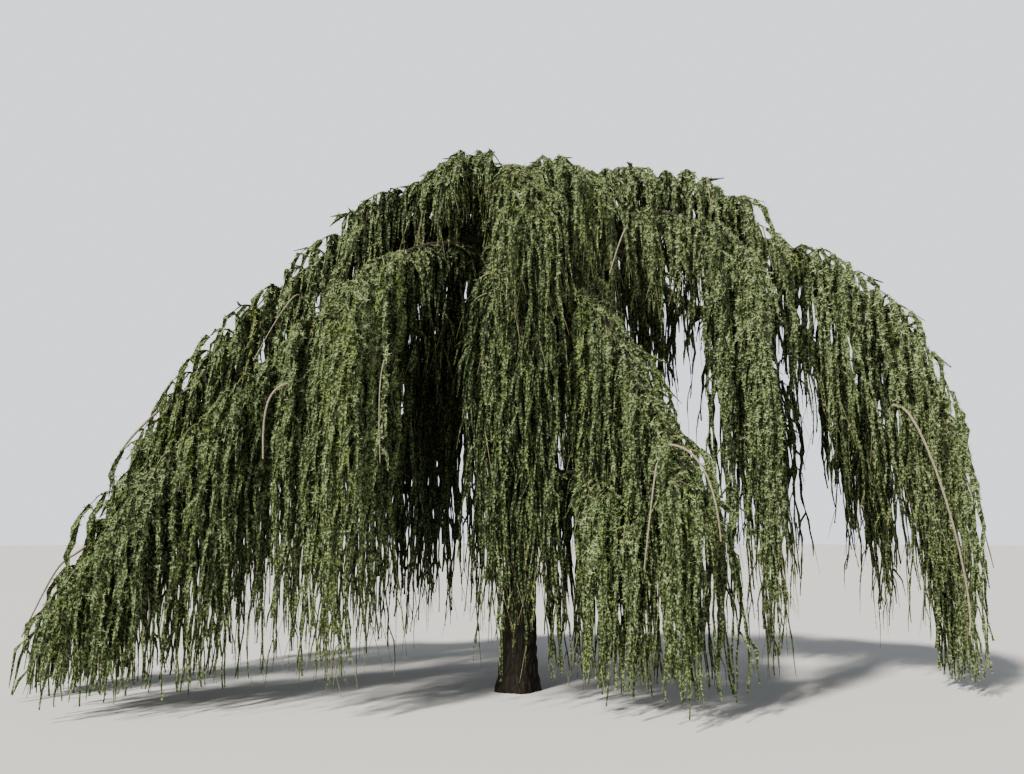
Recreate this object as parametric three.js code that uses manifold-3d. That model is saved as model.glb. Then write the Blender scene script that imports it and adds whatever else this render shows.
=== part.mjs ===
// A weeping atlas cedar, rooted in the ground: a short thick trunk, boughs that arch out of it and fall,
// and curtains of hanging needle shoots along every bough.
// Millimetres. The origin is the middle of the trunk's flat cut at ground level, +Z is up, +X is the right
// of the tree's open side and -Y is the side that looks at the viewer.

import * as THREE from "three";
import { mergeVertices } from "three/addons/utils/BufferGeometryUtils.js";
import Module from "manifold-3d";

const wasm = await Module();
wasm.setup();

// Driving sizes of the trunk
const TRUNK_HEIGHT = 4800;
const TRUNK_FOOT_RADIUS = 172;
const TRUNK_TIP_RADIUS = 52;
const TRUNK_SWAY = 34;
const SWAY_TURN_X = 5.2;
const SWAY_TURN_Y = 4.1;
const SWAY_SHARE_Y = 0.6;
const TRUNK_SIDES = 12;
const TRUNK_RINGS = 14;
const TRUNK_TAPER = 0.85;
const RING_CROWDING = 1.6;
const FLARE = 46;
const FLARE_HEIGHT = 190;
const FLARE_LOBES = 5;
const LOBE_DEPTH = 0.35;

// Driving sizes of every bough and of the stem that runs on from it through its foliage
const CLEARANCE = 0.35;
const CLIMB = 8;
const WANDER = 45;
const WANDER_TURN = 9;
const BOUGH_TAPER = 0.9;
const BOUGH_SIDES = 6;
const BOUGH_STEP = 450;
const STEM_SIDES = 4;
const STEM_TIP_RADIUS = 14;

// Driving sizes of the side twigs and of the sprays of needles
const TWIG_RADIUS = 22;
const TWIG_RINGS = 2;
const TWIG_LIFT = 0.24;
const TWIG_SAG = 0.2;
const TWIG_BEND = 0.55;
const TWIG_TAPER = 0.5;
const FIRST_TWIG = 0.4;
const TWIG_AHEAD = 0.5;
const SHORTEST_TWIG = 0.75;
const SPRAY_RADIUS = 142;
const SLIMMEST = 0.5;
const FULL_SPRAY = 1200;
const SPRAY_BEND = 0.9;
const SPRAY_OUT = 1.1;
const SPRAY_LIFT = 0.25;
const NEAR_NECK = 8;
const FAR_NECK = 17;
const NOTCH = 0.34;
const TOOTH_PITCH = 350;
const TOOTH_FALL = 0.2;
const MORE_TOOTH_FALL = 0.3;
const NOTCH_RISE = 0.25;
const ROOT_WIDTH = 0.6;
const ROOT_WIDENING = 2.5;
const TIP_WIDTH = 0.45;
const TIP_NARROWING = 1.25;
const LEAST_SPRAY = 270;
const SPRAY_CUTS = [1, 0.75, 0.5, 0.3];
const ROOM = 10;
const ROOM_RINGS = 4;
const GROUND_CLEARANCE = 25;
const LEAST_DROP = 0.9;
const LEAST_LENGTH = 0.8;

// Where sprays hang along a side twig, how far they stand off from it, and the turn of their edges
const FAR_ROOT = 0.92;
const FAR_DRIFT = 0.35;
const NEAR_ROOT = 0.42;
const NEAR_DRIFT = 0.12;
const TIP_ROOT = 0.995;
const TIP_DRIFT = 60;
const LEAST_TURN = 55;
const MORE_TURN = 60;

const BARK = { color: 0x5a4c40, roughness: 0.92, metalness: 0 };
const BOUGH_BARK = { color: 0x8a7f70, roughness: 0.85, metalness: 0 };
const NEEDLES = { color: 0x56694f, roughness: 0.8, metalness: 0 };

const DEGREES = Math.PI / 180;

// The boughs. foot, crest and tip are heights, reach is measured level from the trunk, azimuth is the way
// that a bough leaves it and sweep how far it turns on its way.
// bare is the share of the line that is a bare limb: the rest is the stem of its mass of foliage.
// spread is how far its side twigs reach. near and hang are the lengths of its longest sprays, near the
// bare limb and at the tip, and hem is the height that they stop at.
const BOUGHS = [
  { name: "left_outer", azimuth: 176, sweep: 5, foot: 4050, crest: 4830, reach: 4150, tip: 450,
    shoulder: 2, belly: 1.25, thick: 56, bare: 0.16,
    twigs: 10, spread: 540, near: 1200, hang: 2300, hem: 50 },
  { name: "left_front", azimuth: 203, sweep: -8, foot: 3600, crest: 4650, reach: 3700, tip: 900,
    shoulder: 1.25, belly: 1.2, thick: 52, bare: 0.36,
    twigs: 8, spread: 500, near: 2300, hang: 2800, hem: 120 },
  { name: "left_inner", azimuth: 222, sweep: -6, foot: 3300, crest: 4250, reach: 1950, tip: 3000,
    shoulder: 1.9, belly: 1.6, thick: 38, bare: 0.58,
    twigs: 5, spread: 420, near: 3500, hang: 3200, hem: 350 },
  { name: "left_shoulder", azimuth: 190, sweep: -6, foot: 4350, crest: 4860, reach: 1600, tip: 4050,
    shoulder: 2, belly: 2, thick: 34, bare: 0.2,
    twigs: 5, spread: 430, near: 600, hang: 900, hem: 900 },
  { name: "trunk_curtain", azimuth: 262, sweep: 5, foot: 2950, crest: 3850, reach: 900, tip: 3300,
    shoulder: 2, belly: 2, thick: 28, bare: 0.35,
    twigs: 5, spread: 330, near: 3100, hang: 2900, hem: 500 },
  { name: "front_right", azimuth: 320, sweep: -7, foot: 3900, crest: 4840, reach: 2100, tip: 1500,
    shoulder: 1.08, belly: 1.08, thick: 44, bare: 0.18,
    twigs: 7, spread: 380, near: 1500, hang: 2600, hem: 120 },
  { name: "front_centre", azimuth: 262, sweep: -12, foot: 3450, crest: 4350, reach: 850, tip: 3000,
    shoulder: 1.6, belly: 1.5, thick: 28, bare: 0.3,
    twigs: 4, spread: 200, near: 700, hang: 1000, hem: 900 },
  { name: "front_low", azimuth: 302, sweep: 8, foot: 1400, crest: 2050, reach: 1450, tip: 1500,
    shoulder: 2, belly: 1.6, thick: 34, bare: 0.42,
    twigs: 4, spread: 380, near: 2000, hang: 1800, hem: 120 },
  { name: "right_column", azimuth: 346, sweep: -6, foot: 3750, crest: 4600, reach: 2300, tip: 3500,
    shoulder: 2.2, belly: 2.2, thick: 42, bare: 0.7,
    twigs: 3, spread: 230, near: 3000, hang: 3300, hem: 300 },
  { name: "right_top", azimuth: 355, sweep: -4, foot: 4450, crest: 4960, reach: 2150, tip: 4350,
    shoulder: 2, belly: 2, thick: 34, bare: 0.2,
    twigs: 7, spread: 400, near: 1200, hang: 700, hem: 900 },
  { name: "right_outer", azimuth: 358, sweep: 2, foot: 4000, crest: 4620, reach: 4030, tip: 1600,
    shoulder: 2.2, belly: 2.9, thick: 56, bare: 0.36,
    twigs: 9, spread: 460, near: 500, hang: 2900, hem: 60 },
  { name: "crown_left", azimuth: 215, sweep: 0, foot: 4550, crest: 5060, reach: 850, tip: 4600,
    shoulder: 2, belly: 2, thick: 28, bare: 0.2,
    twigs: 5, spread: 400, near: 400, hang: 550, hem: 900 },
  { name: "crown_top", azimuth: 318, sweep: 0, foot: 4550, crest: 4950, reach: 1000, tip: 4400,
    shoulder: 2, belly: 2, thick: 28, bare: 0.2,
    twigs: 5, spread: 400, near: 450, hang: 800, hem: 900 },
  { name: "crown_front", azimuth: 285, sweep: -8, foot: 4400, crest: 4920, reach: 1000, tip: 4000,
    shoulder: 2, belly: 2, thick: 28, bare: 0.2,
    twigs: 5, spread: 300, near: 500, hang: 1100, hem: 900 },
  { name: "crown_back", azimuth: 95, sweep: 0, foot: 4500, crest: 4980, reach: 1300, tip: 4250,
    shoulder: 2, belly: 2, thick: 32, bare: 0.2,
    twigs: 5, spread: 480, near: 1500, hang: 1800, hem: 900 },
  { name: "back_left_top", azimuth: 140, sweep: 0, foot: 4300, crest: 4860, reach: 1850, tip: 3900,
    shoulder: 2, belly: 2, thick: 36, bare: 0.2,
    twigs: 5, spread: 480, near: 1700, hang: 1800, hem: 900 },
  { name: "back_right_top", azimuth: 37, sweep: 0, foot: 4250, crest: 4840, reach: 1900, tip: 4000,
    shoulder: 2, belly: 2, thick: 36, bare: 0.25,
    twigs: 4, spread: 440, near: 700, hang: 1600, hem: 900 },
  { name: "left_back", azimuth: 156, sweep: 0, foot: 3650, crest: 4350, reach: 3450, tip: 1900,
    shoulder: 1.8, belly: 1.5, thick: 48, bare: 0.3,
    twigs: 6, spread: 520, near: 2900, hang: 2600, hem: 400 },
  { name: "back_left", azimuth: 121, sweep: 0, foot: 3200, crest: 4050, reach: 2550, tip: 2500,
    shoulder: 1.8, belly: 1.6, thick: 42, bare: 0.25,
    twigs: 6, spread: 520, near: 3500, hang: 2800, hem: 350 },
  { name: "back_middle", azimuth: 90, sweep: 0, foot: 3450, crest: 4150, reach: 2150, tip: 2700,
    shoulder: 1.8, belly: 1.6, thick: 40, bare: 0.35,
    twigs: 5, spread: 400, near: 1500, hang: 1900, hem: 550 },
  { name: "back_right", azimuth: 57, sweep: 0, foot: 3300, crest: 4100, reach: 2350, tip: 2500,
    shoulder: 1.8, belly: 1.6, thick: 40, bare: 0.22,
    twigs: 6, spread: 450, near: 3200, hang: 1700, hem: 550 },
  { name: "right_back", azimuth: 26, sweep: 0, foot: 3550, crest: 4300, reach: 3250, tip: 2600,
    shoulder: 2, belly: 1.7, thick: 46, bare: 0.7,
    twigs: 4, spread: 360, near: 1900, hang: 2100, hem: 450 },
  { name: "right_far_back", azimuth: 13, sweep: 0, foot: 3800, crest: 4500, reach: 3900, tip: 2100,
    shoulder: 2.2, belly: 1.7, thick: 50, bare: 0.72,
    twigs: 4, spread: 400, near: 1600, hang: 1800, hem: 250 },
];

// Seeded dice: one seed always throws the same numbers from 0 to 1.
function dice(seed) {
  let state = seed;
  return () => {
    state = (state * 16807) % 2147483647;
    return state / 2147483647;
  };
}

function between(low, high, share) {
  return low + (high - low) * share;
}

// A closed geometry as a solid.
function solidOf(geometry) {
  const plain = geometry.toNonIndexed();
  plain.deleteAttribute("normal");
  plain.deleteAttribute("uv");
  const merged = mergeVertices(plain, 1e-3);
  return new wasm.Manifold(
    new wasm.Mesh({
      numProp: 3,
      vertProperties: new Float32Array(merged.attributes.position.array),
      triVerts: new Uint32Array(merged.index.array),
    }),
  );
}

// A solid as a geometry with flat shaded faces.
function geometryOf(solid) {
  const mesh = solid.getMesh();
  const corners = new Float32Array(mesh.numVert * 3);
  for (let i = 0; i < mesh.numVert; i++) {
    const at = i * mesh.numProp;
    corners.set(mesh.vertProperties.subarray(at, at + 3), i * 3);
  }
  const geometry = new THREE.BufferGeometry();
  geometry.setAttribute("position", new THREE.BufferAttribute(corners, 3));
  geometry.setIndex(new THREE.BufferAttribute(new Uint32Array(mesh.triVerts), 1));
  geometry.computeVertexNormals();
  return geometry;
}

// Every tapering shape here is a cylinder or a cone with its rings laid along a line. cornerAt places
// one corner from its ring's share of the length and its heading round the ring, or from no heading
// where the corner is the middle of an end.
function laidAlong(geometry, cornerAt) {
  const place = geometry.attributes.position;
  for (let i = 0; i < place.count; i++) {
    const [x, z] = [place.getX(i), place.getZ(i)];
    const isMiddle = Math.hypot(x, z) < 1e-6;
    const at = cornerAt(0.5 + place.getY(i), isMiddle ? null : Math.atan2(z, x));
    place.setXYZ(i, at.x, at.y, at.z);
  }
  return solidOf(geometry);
}

// A point at a radius and a heading round a line, in the frame of two directions across that line.
function around(at, across, over, radius, heading) {
  if (heading === null) return at;
  return at
    .addScaledVector(across, radius * Math.cos(heading))
    .addScaledVector(over, radius * Math.sin(heading));
}

// The trunk's axis: upright, with a slight sway.
function trunkAxis(height) {
  const share = height / TRUNK_HEIGHT;
  const x = TRUNK_SWAY * Math.sin(share * SWAY_TURN_X);
  const y = TRUNK_SWAY * SWAY_SHARE_Y * Math.sin(share * SWAY_TURN_Y);
  return new THREE.Vector3(x, y, height);
}

function trunkRadius(height, heading) {
  const taper = (TRUNK_FOOT_RADIUS - TRUNK_TIP_RADIUS) * (1 - height / TRUNK_HEIGHT) ** TRUNK_TAPER;
  const flare = FLARE * Math.exp(-height / FLARE_HEIGHT);
  return TRUNK_TIP_RADIUS + taper + flare * (1 + LOBE_DEPTH * Math.cos(FLARE_LOBES * heading));
}

function trunkSolid(swell) {
  const east = new THREE.Vector3(1, 0, 0);
  const south = new THREE.Vector3(0, -1, 0);
  return laidAlong(new THREE.CylinderGeometry(1, 1, 1, TRUNK_SIDES, TRUNK_RINGS), (share, heading) => {
    const height = TRUNK_HEIGHT * share ** RING_CROWDING;
    return around(trunkAxis(height), east, south, trunkRadius(height, heading) + swell, heading);
  });
}

// The line of a whole bough: it climbs out of its foot, passes its crest and falls to its tip.
// In plan it leaves its root along the azimuth and turns by the sweep. Shoulder and belly bend the fall:
// larger ones hold the bough out level for longer before it drops.
class BoughLine extends THREE.Curve {
  constructor(bough, root) {
    super();
    this.bough = bough;
    this.root = root;
    this.arcLengthDivisions = 120;
  }

  heading(t) {
    return (this.bough.azimuth + this.bough.sweep * t) * DEGREES;
  }

  getPoint(t, target = new THREE.Vector3()) {
    const { reach, foot, crest, tip, shoulder, belly, seed } = this.bough;
    const turn = (t * Math.PI) / 2;
    const out = reach * Math.sin(turn) ** (2 / shoulder);
    const fall = Math.max(Math.cos(turn), 0) ** (2 / belly);
    const sway = WANDER * Math.sin(t * WANDER_TURN + seed) * t;
    const heading = this.heading(t);
    return target.set(
      this.root.x + out * Math.cos(heading) - sway * Math.sin(heading),
      this.root.y + out * Math.sin(heading) + sway * Math.cos(heading),
      tip + (crest - tip) * fall - (crest - foot) * (1 - t) ** CLIMB,
    );
  }
}

// The directions at a share of a bough's line: level across it, square to both, and along it.
function framesAt(line, share) {
  const along = line.getTangentAt(share);
  const heading = line.heading(share);
  const across = new THREE.Vector3(-Math.sin(heading), Math.cos(heading), 0);
  across.addScaledVector(along, -across.dot(along)).normalize();
  return [across, new THREE.Vector3().crossVectors(across, along), along];
}

// A bough's wood with a ring at each of some shares of its line, tapering over the whole line.
function woodSolid(bough, shares, sides, swell) {
  const rings = shares.length - 1;
  return laidAlong(new THREE.CylinderGeometry(1, 1, 1, sides, rings), (ringShare, heading) => {
    const share = shares[Math.round(ringShare * rings)];
    const [across, over] = framesAt(bough.line, share);
    const radius = STEM_TIP_RADIUS + (bough.thick - STEM_TIP_RADIUS) * (1 - share) ** BOUGH_TAPER + swell;
    return around(bough.line.getPointAt(share), across, over, radius, heading);
  });
}

// A pointed three-sided rod along a curve. edgeAt gives the radius of one of its edges at one of its
// rings, and how far along the curve that corner stands.
function rodSolid(curve, level, rings, neck, edgeAt) {
  return laidAlong(new THREE.ConeGeometry(1, 1, 3, rings), (ringShare, heading) => {
    const ring = Math.round(ringShare * rings);
    const edge = heading === null ? 0 : Math.round(heading / (120 * DEGREES) + 3) % 3;
    const [radius, share] = ring === 0 || heading === null ? [neck, ringShare] : edgeAt(ring, edge);
    const along = curve.getTangent(share);
    const across = level.clone().addScaledVector(along, -level.dot(along)).normalize();
    const over = new THREE.Vector3().crossVectors(across, along);
    return around(curve.getPoint(share), across, over, radius, heading);
  });
}

// A side twig: it leaves the stem, rises a little and ends out to one side.
function twigCurve(from, out) {
  const bend = from.clone().addScaledVector(out, TWIG_BEND);
  const end = from.clone().add(out);
  bend.z += out.length() * TWIG_LIFT;
  end.z -= out.length() * TWIG_SAG;
  return new THREE.QuadraticBezierCurve3(from, bend, end);
}

function twigSolid(curve) {
  const level = new THREE.Vector3(0, 0, 1);
  return laidAlong(new THREE.ConeGeometry(1, 1, 3, TWIG_RINGS), (share, heading) => {
    const along = curve.getTangent(share);
    const across = level.clone().addScaledVector(along, -level.dot(along)).normalize();
    const over = new THREE.Vector3().crossVectors(across, along);
    return around(curve.getPoint(share), across, over, TWIG_RADIUS * (1 - TWIG_TAPER * share), heading);
  });
}

// Short sprays are slimmer than long ones.
function sprayRadius(length) {
  return SPRAY_RADIUS * Math.min(1, SLIMMEST + (1 - SLIMMEST) * (length / FULL_SPRAY));
}

// The line of one spray: it arches away from its twig and hangs.
function sprayCurve(from, out, length) {
  const bend = from.clone().addScaledVector(out, SPRAY_BEND);
  const end = from.clone().addScaledVector(out, SPRAY_OUT);
  bend.z += out.length() * SPRAY_LIFT;
  end.z -= length;
  return new THREE.QuadraticBezierCurve3(from, bend, end);
}

// One hanging spray of needles: a long three-edged blade whose edges are toothed in turn, with every
// tooth pointing down.
function spraySolid(curve, level, length, neck, throwDice) {
  const rings = 2 * Math.max(1, Math.round(length / (2 * TOOTH_PITCH))) + 1;
  const throws = Array.from({ length: 3 * rings }, throwDice);
  return rodSolid(curve, level, rings, neck, (ring, edge) => {
    const isTooth = (ring + edge) % 2 === 0;
    const fall = isTooth ? TOOTH_FALL + MORE_TOOTH_FALL * throws[3 * ring + edge] : -NOTCH_RISE;
    const share = (ring + fall) / rings;
    const width = Math.min(1, ROOT_WIDTH + ROOT_WIDENING * share, TIP_WIDTH + TIP_NARROWING * (1 - share));
    const radius = sprayRadius(length) * width;
    return [radius * (isTooth ? 1 : NOTCH), share];
  });
}

// The plain prism of room round a spray.
function roomSolid(curve, level, length) {
  return laidAlong(new THREE.CylinderGeometry(1, 1, 1, 3, ROOM_RINGS), (share, heading) => {
    const along = curve.getTangent(share);
    const across = level.clone().addScaledVector(along, -level.dot(along)).normalize();
    const over = new THREE.Vector3().crossVectors(across, along);
    return around(curve.getPoint(share), across, over, sprayRadius(length) + ROOM, heading);
  });
}

const tree = new THREE.Group();
const taken = [];

function addNode(name, solid, look) {
  const mesh = new THREE.Mesh(geometryOf(solid), new THREE.MeshStandardMaterial(look));
  mesh.name = name;
  tree.add(mesh);
}

function boxOf(solid) {
  const { min, max } = solid.boundingBox();
  return new THREE.Box3(new THREE.Vector3(...min), new THREE.Vector3(...max));
}

function take(solid, owner) {
  taken.push({ solid, owner, box: boxOf(solid) });
}

// Whether a piece's room is free of everything that belongs to another owner.
function isFree(room, owner) {
  const box = boxOf(room);
  return taken.every(
    (other) =>
      other.owner === owner || !other.box.intersectsBox(box) || other.solid.intersect(room).volume() <= 0,
  );
}

// The bare limb of a bough.
function limbSolid(bough, swell) {
  const rings = Math.max(2, Math.round((bough.bare * bough.length) / BOUGH_STEP));
  const shares = Array.from({ length: rings + 1 }, (_, i) => (bough.bare * i) / rings);
  return woodSolid(bough, shares, BOUGH_SIDES, swell);
}

// The share of a bough's line where one of its side twigs leaves.
function twigShare(bough, i) {
  return bough.bare + (1 - bough.bare) * ((i + FIRST_TWIG) / bough.twigs);
}

// The stem of a mass runs on from its bough's tip to the end of the bough's line, with a ring at every
// twig.
function growStem(bough) {
  bough.throwDice = dice(977 * bough.seed + 13);
  const middles = Array.from({ length: bough.twigs }, (_, i) => twigShare(bough, i));
  const stem = woodSolid(bough, [bough.bare + CLEARANCE / bough.length, ...middles, 1], STEM_SIDES, 0);
  take(stem, bough.name);
  bough.pieces = [stem];
}

// Side twigs leave the stem to each side in turn.
function growTwigs(bough) {
  bough.roots = [];
  for (let i = 0; i < bough.twigs; i++) {
    const share = twigShare(bough, i);
    const [across, , along] = framesAt(bough.line, share);
    const side = across.multiplyScalar(i % 2 ? 1 : -1).addScaledVector(along.setZ(0), TWIG_AHEAD).normalize();
    const out = side.multiplyScalar(bough.spread * between(SHORTEST_TWIG, 1, bough.throwDice()));
    const curve = twigCurve(bough.line.getPointAt(share), out);
    const twig = twigSolid(curve);
    if (!isFree(twig, bough.name)) continue;
    take(twig, bough.name);
    bough.pieces.push(twig);
    const [far, near] = [FAR_DRIFT, NEAR_DRIFT].map((drift) => out.clone().multiplyScalar(drift));
    bough.roots.push([curve.getPoint(FAR_ROOT), far, i / bough.twigs, FAR_NECK]);
    bough.roots.push([curve.getPoint(NEAR_ROOT), near, i / bough.twigs, NEAR_NECK]);
  }
  const ahead = bough.line.getTangentAt(1).setZ(0).setLength(TIP_DRIFT);
  bough.roots.push([bough.line.getPointAt(TIP_ROOT), ahead, 1, NEAR_NECK]);
}

// A spray hangs from every root that has room for it, at its full length or cut shorter.
function hangSprays(bough) {
  const { throwDice, near, hang, hem } = bough;
  for (const [from, out, share, neck] of bough.roots) {
    const drop = (from.z - hem - GROUND_CLEARANCE) * between(LEAST_DROP, 1, throwDice());
    const longest = Math.min(between(near, hang, share) * between(LEAST_LENGTH, 1, throwDice()), drop);
    const turn = (throwDice() < 0.5 ? -1 : 1) * (LEAST_TURN + MORE_TURN * throwDice()) * DEGREES;
    const heading = Math.atan2(out.y, out.x) + turn;
    const level = new THREE.Vector3(Math.cos(heading), Math.sin(heading), 0);
    for (const cut of SPRAY_CUTS) {
      const length = longest * cut;
      if (length < LEAST_SPRAY) break;
      const curve = sprayCurve(from, out, length);
      const room = roomSolid(curve, level, length);
      if (!isFree(room, bough.name)) continue;
      bough.pieces.push(spraySolid(curve, level, length, neck, throwDice));
      take(room, "a spray of " + bough.name);
      break;
    }
  }
}

// The stem, twigs and sprays of a mass are one solid.
function fuseMass(bough) {
  const shells = wasm.Manifold.union(bough.pieces).decompose();
  shells.sort((a, b) => b.volume() - a.volume());
  addNode(bough.name + "_foliage", shells[0], NEEDLES);
}

const trunk = trunkSolid(0);
addNode("trunk", trunk, BARK);
take(trunk, "trunk");

// The bare limbs, each cut clear of the trunk and of the limbs before it.
let carriers = trunkSolid(CLEARANCE);
BOUGHS.forEach((bough, i) => {
  bough.seed = 11 + i * 7;
  bough.line = new BoughLine(bough, trunkAxis(bough.foot));
  bough.length = bough.line.getLength();
  const limbs = limbSolid(bough, 0).subtract(carriers).decompose();
  limbs.sort((a, b) => b.volume() - a.volume());
  carriers = carriers.add(limbSolid(bough, CLEARANCE));
  addNode(bough.name + "_bough", limbs[0], BOUGH_BARK);
  take(limbs[0], bough.name + "_bough");
});
BOUGHS.forEach(growStem);
BOUGHS.forEach(growTwigs);
BOUGHS.forEach(hangSprays);
BOUGHS.forEach(fuseMass);

export default tree;
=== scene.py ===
"""A weeping atlas cedar in needle and bark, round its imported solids. Metres, +Z up, seen from -Y."""

import math
from collections import namedtuple

import bpy
import numpy as np
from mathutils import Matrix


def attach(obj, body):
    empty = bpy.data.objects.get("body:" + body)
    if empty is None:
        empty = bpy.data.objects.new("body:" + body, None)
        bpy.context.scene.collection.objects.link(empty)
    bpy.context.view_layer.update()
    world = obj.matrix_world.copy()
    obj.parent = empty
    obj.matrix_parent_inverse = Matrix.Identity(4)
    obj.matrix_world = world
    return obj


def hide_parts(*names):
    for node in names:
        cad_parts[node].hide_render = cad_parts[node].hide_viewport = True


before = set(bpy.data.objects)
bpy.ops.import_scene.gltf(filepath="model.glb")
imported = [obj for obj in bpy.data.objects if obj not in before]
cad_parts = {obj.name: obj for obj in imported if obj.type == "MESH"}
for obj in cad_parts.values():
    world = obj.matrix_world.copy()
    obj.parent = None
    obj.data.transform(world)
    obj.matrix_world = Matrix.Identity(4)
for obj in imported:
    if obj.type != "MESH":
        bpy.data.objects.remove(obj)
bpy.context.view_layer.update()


# The view: from standing height, 8.5 m in front of the trunk and a little upwards.
EYE = (-0.045, -8.5, 1.434)
LOOK_UP = math.radians(9.03)
LENS_MM = 31.64
SENSOR_MM = 36

view_lens = bpy.data.cameras.new("view")
view_lens.lens = LENS_MM
view_lens.sensor_width = SENSOR_MM
view = bpy.data.objects.new("view", view_lens)
view.location = EYE
view.rotation_euler = (math.radians(90) + LOOK_UP, 0, 0)
bpy.context.scene.collection.objects.link(view)
bpy.context.scene.camera = view


# The studio: a plain pale floor, a pale surround that fills the shade softly and stands brighter behind the
# tree, and a soft key light from the upper left front.
FLOOR_RADIUS = 90
FLOOR_SIDES = 48
FLOOR_COLOUR = (0.58, 0.57, 0.55, 1)
FLOOR_ROUGHNESS = 0.9
SURROUND_COLOUR = (0.80, 0.85, 0.92, 1)
SURROUND_STRENGTH = 0.47
BACKDROP_STRENGTH = 1.7
KEY_STRENGTH = 8.0
KEY_COLOUR = (1.0, 0.96, 0.88)
KEY_SOFTNESS = math.radians(6)
KEY_TILT = (math.radians(44), 0, math.radians(-38))

floor_headings = [math.radians(360 / FLOOR_SIDES * i) for i in range(FLOOR_SIDES)]
floor_rim = [(FLOOR_RADIUS * math.cos(a), FLOOR_RADIUS * math.sin(a), 0) for a in floor_headings]
floor_mesh = bpy.data.meshes.new("floor")
floor_mesh.from_pydata(floor_rim, [], [list(range(FLOOR_SIDES))])
floor_finish = bpy.data.materials.new("floor")
floor_finish.use_nodes = True
floor_shader = floor_finish.node_tree.nodes["Principled BSDF"]
floor_shader.inputs["Base Color"].default_value = FLOOR_COLOUR
floor_shader.inputs["Roughness"].default_value = FLOOR_ROUGHNESS
floor_mesh.materials.append(floor_finish)
floor = bpy.data.objects.new("floor", floor_mesh)
bpy.context.scene.collection.objects.link(floor)

surround = bpy.data.worlds.new("surround")
surround.use_nodes = True
sky_nodes = surround.node_tree.nodes
join = surround.node_tree.links.new
fill = sky_nodes["Background"]
fill.inputs["Color"].default_value = SURROUND_COLOUR
fill.inputs["Strength"].default_value = SURROUND_STRENGTH
backdrop = sky_nodes.new("ShaderNodeBackground")
backdrop.inputs["Color"].default_value = SURROUND_COLOUR
backdrop.inputs["Strength"].default_value = BACKDROP_STRENGTH
seen = sky_nodes.new("ShaderNodeLightPath")
either = sky_nodes.new("ShaderNodeMixShader")
join(seen.outputs["Is Camera Ray"], either.inputs[0])
join(fill.outputs[0], either.inputs[1])
join(backdrop.outputs[0], either.inputs[2])
join(either.outputs[0], sky_nodes["World Output"].inputs["Surface"])
bpy.context.scene.world = surround

key_light = bpy.data.lights.new("key", "SUN")
key_light.energy = KEY_STRENGTH
key_light.angle = KEY_SOFTNESS
key_light.color = KEY_COLOUR
key = bpy.data.objects.new("key", key_light)
key.rotation_euler = KEY_TILT
bpy.context.scene.collection.objects.link(key)


# The trunk: one stem of old wood, from the lobes of its root flare to a tip hidden in the crown.
# Its dark brown bark, darkened further as painted shade of the crown, is cracked into upright plates
# with darker fissures between them. It stands rooted in the ground, where it ends in a flat cut.
TRUNK_HEIGHT = 4.8
TRUNK_FOOT_RADIUS = 0.172
TRUNK_TIP_RADIUS = 0.052
TRUNK_TAPER = 0.85
TRUNK_SWAY = 0.034
SWAY_TO_THE_BACK = 0.6
TRUNK_WAVES = (5.2, 4.1)
FLARE = 0.046
FLARE_HEIGHT = 0.19
FLARE_LOBES = 5
LOBE_DEPTH = 0.35
TRUNK_SIDES = 90
TRUNK_RING_STEP = 0.011
# The bark's own dark brown, darkened further as painted shade of the crown
TRUNK_PLATES_WITH_PAINTED_SHADE = (0.018, 0.014, 0.008)
TRUNK_FISSURES_WITH_PAINTED_SHADE = (0.006, 0.0045, 0.003)
PLATE_WIDTH = 0.042
PLATE_LENGTH = 0.17
FISSURE_DEPTH = 0.011
# How all bark is made: how far its plates bend, where their edges lie, and its flakes, fibres and patches
BEND_SCALE = 9.0
BEND = 0.03
PLATE_EDGES = (0.02, 0.3)
FLAKE_SCALE = 60.0
FLAKE_DEPTH = 0.7
BARK_ROUGHNESS = 0.88
FIBRE_SCALE = 120.0
FIBRE_STRETCH = 0.12
FIBRE_EDGES = (0.35, 0.75)
FIBRE_BUMP = 0.004
FIBRE_STRENGTH = 0.5
PATCH_SCALE = 3.0
PATCH_EDGES = (0.3, 0.7)
PALE_PATCH = 1.35
# The gloss of bark and needles alike
SPECULAR_LEVEL = 0.2
# Values that the Geometry Nodes trees work with and that a finished mesh doesn't need
WORKING_VALUES = ("grain", "ring", "edge", "heart", "onward")


def trunk_axis(height):
    """The middle of the trunk at a height. It sways from side to side, and less to the front and back."""
    share = np.asarray(height) / TRUNK_HEIGHT
    aside = TRUNK_SWAY * np.sin(TRUNK_WAVES[0] * share)
    back = SWAY_TO_THE_BACK * TRUNK_SWAY * np.sin(TRUNK_WAVES[1] * share)
    return np.stack([aside, back, height], axis=-1)


def trunk_radius(height, heading):
    taper = (TRUNK_FOOT_RADIUS - TRUNK_TIP_RADIUS) * (1 - height / TRUNK_HEIGHT) ** TRUNK_TAPER
    flare = FLARE * np.exp(-height / FLARE_HEIGHT)
    return TRUNK_TIP_RADIUS + taper + flare * (1 + LOBE_DEPTH * np.cos(FLARE_LOBES * heading))


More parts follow.
